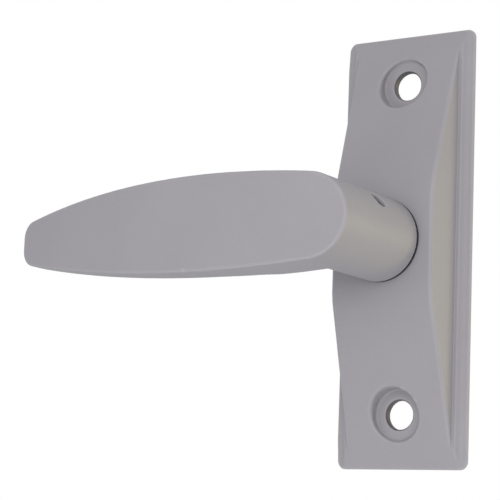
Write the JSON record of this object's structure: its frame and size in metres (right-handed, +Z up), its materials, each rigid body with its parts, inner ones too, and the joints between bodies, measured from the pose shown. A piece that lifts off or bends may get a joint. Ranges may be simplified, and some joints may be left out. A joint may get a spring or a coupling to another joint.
{
  "type": "lever handle trim",
  "caption": "Lever handle on a tall ramped escutcheon with a sprung, stopped spindle and square drive tail, for working a narrow-stile door lock.",
  "frame": {"origin": "where the handle's turning axis meets the door face, at the back of the escutcheon", "axes": "+Y into the door, -Y towards the hand, +Z up, +X to the right of a person facing the door; the lever points along -X at rest"},
  "size_m": [0.1167, 0.0769, 0.1172],
  "materials": {
    "satin_paint": "satin grey paint with a slight purple cast",
    "zinc_steel": "zinc plated",
    "blackened_steel": "black oxide",
    "spring_steel": "drawn and oiled",
    "bronze": "sintered bronze",
    "nylon": "natural nylon",
    "black_nylon": "black nylon"
  },
  "bodies": {
    "escutcheon_body": {"escutcheon": "satin_paint", "bearing_bush": "bronze", "front_thrust_washer": "black_nylon", "rear_thrust_washer": "nylon", "return_spring": "spring_steel", "stop_pin_left": "zinc_steel", "stop_pin_right": "zinc_steel", "spring_guide": "nylon", "spring_post": "zinc_steel", "back_plate": "zinc_steel", "back_plate_screw_1": "zinc_steel", "back_plate_screw_2": "zinc_steel", "back_plate_screw_3": "zinc_steel", "back_plate_screw_4": "zinc_steel"},
    "lever_body": {"lever_handle": "satin_paint", "lever_set_screw": "blackened_steel", "drive_spindle": "zinc_steel", "spring_driver": "zinc_steel", "wave_washer": "spring_steel", "retaining_ring": "spring_steel"}
  },
  "joints": [
    {"name": "lever_turn", "type": "hinge", "parent": "escutcheon_body", "child": "lever_body", "pos_m": [0, 0, 0], "axis": [0, 1, 0], "range_deg": [-45, 45], "stiffness_Nm_per_rad": 1, "springref_deg": 3.67, "deforming": ["return_spring"]}
  ]
}
